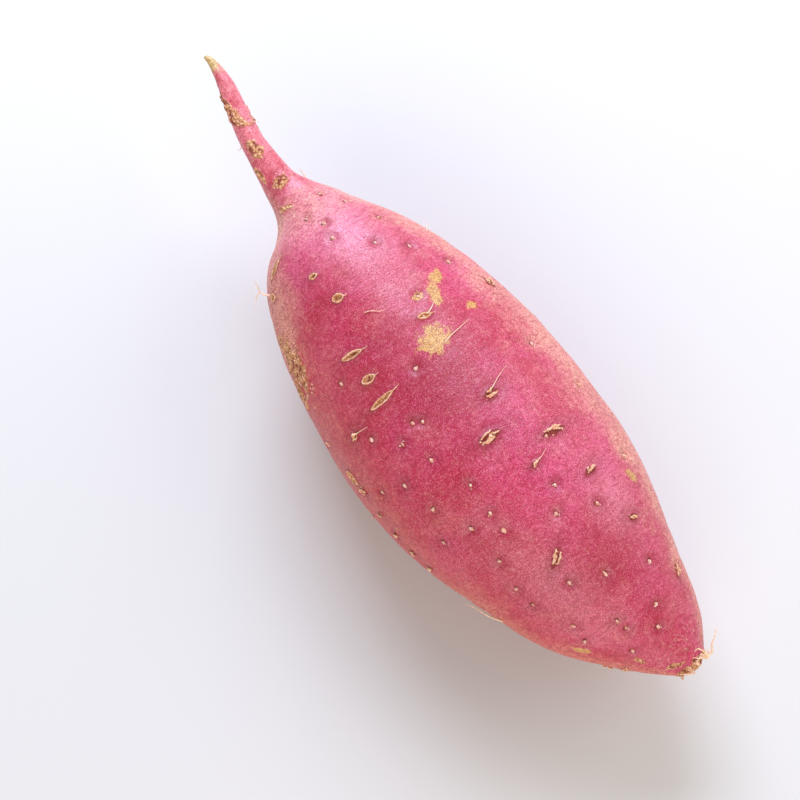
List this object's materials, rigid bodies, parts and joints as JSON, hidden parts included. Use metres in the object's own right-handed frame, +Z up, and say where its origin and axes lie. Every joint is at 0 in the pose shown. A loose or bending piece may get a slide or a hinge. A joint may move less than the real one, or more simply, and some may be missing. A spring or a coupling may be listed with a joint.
{
  "type": "sweet potato",
  "caption": "Red-skinned sweet potato, one plump tapered storage root lying on its belly, with a thin bent tail root still attached.",
  "frame": {"origin": "on the surface that the root lies on, under the middle of its box", "axes": "+Z up, +X along the root from the tail root to the stem end, +Y to the left of that"},
  "size_m": [0.1968, 0.064, 0.0587],
  "materials": {
    "skin": "thin dry skin, rosy magenta with fine light and dark speckle, softly satin where it is clean and dusty at the sides",
    "cork": "dry tan and ochre cork on the pores, root scars, scabs and stem end, rough and matt",
    "rootlet": "dried hair roots and fibres, pale brown and matt"
  },
  "bodies": {
    "root": {"sweet_potato": "skin"}
  },
  "joints": []
}
